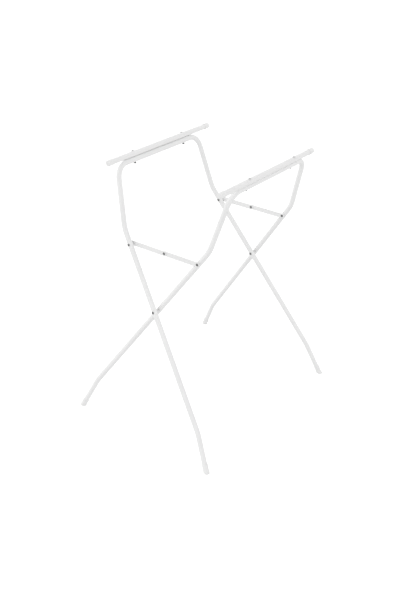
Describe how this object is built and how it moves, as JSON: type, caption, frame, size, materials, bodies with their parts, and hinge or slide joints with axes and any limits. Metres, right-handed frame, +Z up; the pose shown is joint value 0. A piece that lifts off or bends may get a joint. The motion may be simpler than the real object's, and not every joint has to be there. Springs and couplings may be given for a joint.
{
  "type": "folding rack stand",
  "caption": "Folding X-frame stand of bent white tube, with two parallel top rails and jointed strip braces that hold it open.",
  "frame": {"origin": "on the floor, under the middle of the stand, half way between the two rails", "axes": "+Z up; Y along the two rails, -Y is the front; X across the fold, rail a at -X and rail b at +X"},
  "size_m": [0.5574, 0.7438, 0.8592],
  "materials": {
    "white_paint": "white powder coat, satin",
    "white_plastic": "moulded, satin",
    "zinc_steel": "dull zinc plate",
    "bright_steel": "bright zinc plate",
    "grey_plastic": "moulded nylon"
  },
  "bodies": {
    "frame_a": {"frame_a_tube": "white_paint", "rail_a_tube": "white_paint", "pivot_rivet_front": "zinc_steel", "pivot_spacer_front": "grey_plastic", "foot_cap_a_front": "white_plastic", "rail_cap_a_front": "white_plastic", "brace_rivet_a_front": "zinc_steel", "brace_spacer_a_front": "grey_plastic", "rail_bolt_a_front": "bright_steel", "saddle_washer_a_front": "white_plastic", "nut_a_front": "zinc_steel", "foot_cap_a_back": "white_plastic", "rail_cap_a_back": "white_plastic", "brace_rivet_a_back": "zinc_steel", "brace_spacer_a_back": "grey_plastic", "rail_bolt_a_back": "bright_steel", "saddle_washer_a_back": "white_plastic", "nut_a_back": "zinc_steel"},
    "frame_b": {"frame_b_tube": "white_paint", "rail_b_tube": "white_paint", "pivot_rivet_back": "zinc_steel", "pivot_spacer_back": "grey_plastic", "foot_cap_b_front": "white_plastic", "rail_cap_b_front": "white_plastic", "brace_rivet_b_front": "zinc_steel", "brace_spacer_b_front": "grey_plastic", "rail_bolt_b_front": "bright_steel", "saddle_washer_b_front": "white_plastic", "nut_b_front": "zinc_steel", "foot_cap_b_back": "white_plastic", "rail_cap_b_back": "white_plastic", "brace_rivet_b_back": "zinc_steel", "brace_spacer_b_back": "grey_plastic", "rail_bolt_b_back": "bright_steel", "saddle_washer_b_back": "white_plastic", "nut_b_back": "zinc_steel"},
    "brace_a_front": {"brace_link_a_front": "white_paint", "brace_hinge_half_a_front": "zinc_steel"},
    "brace_a_back": {"brace_link_a_back": "white_paint", "brace_hinge_half_a_back": "zinc_steel"},
    "brace_b_front": {"brace_link_b_front": "white_paint", "brace_hinge_half_b_front": "zinc_steel"},
    "brace_b_back": {"brace_link_b_back": "white_paint", "brace_hinge_half_b_back": "zinc_steel"}
  },
  "joints": [
    {"name": "fold", "type": "hinge", "parent": "frame_a", "child": "frame_b", "pos_m": [0, 0, 0.43115], "axis": [0, -1, 0], "range_deg": [0, 49]},
    {"name": "brace_a_front_swing", "type": "hinge", "parent": "frame_a", "child": "brace_a_front", "pos_m": [-0.12066, 0, 0.61], "axis": [0, -1, 0], "range_deg": [0, 97.4]},
    {"name": "brace_a_back_swing", "type": "hinge", "parent": "frame_a", "child": "brace_a_back", "pos_m": [-0.12066, 0, 0.61], "axis": [0, -1, 0], "range_deg": [0, 97.4]},
    {"name": "brace_b_front_swing", "type": "hinge", "parent": "frame_b", "child": "brace_b_front", "pos_m": [0.12066, 0, 0.61], "axis": [0, 1, 0], "range_deg": [0, 97.4]},
    {"name": "brace_b_back_swing", "type": "hinge", "parent": "frame_b", "child": "brace_b_back", "pos_m": [0.12066, 0, 0.61], "axis": [0, 1, 0], "range_deg": [0, 97.4]}
  ],
  "couplings": [
    {"joint": "brace_a_front_swing", "follows": "fold", "ratio": 1.9862},
    {"joint": "brace_a_back_swing", "follows": "fold", "ratio": 1.9862},
    {"joint": "brace_b_front_swing", "follows": "fold", "ratio": 1.9862},
    {"joint": "brace_b_back_swing", "follows": "fold", "ratio": 1.9862}
  ]
}
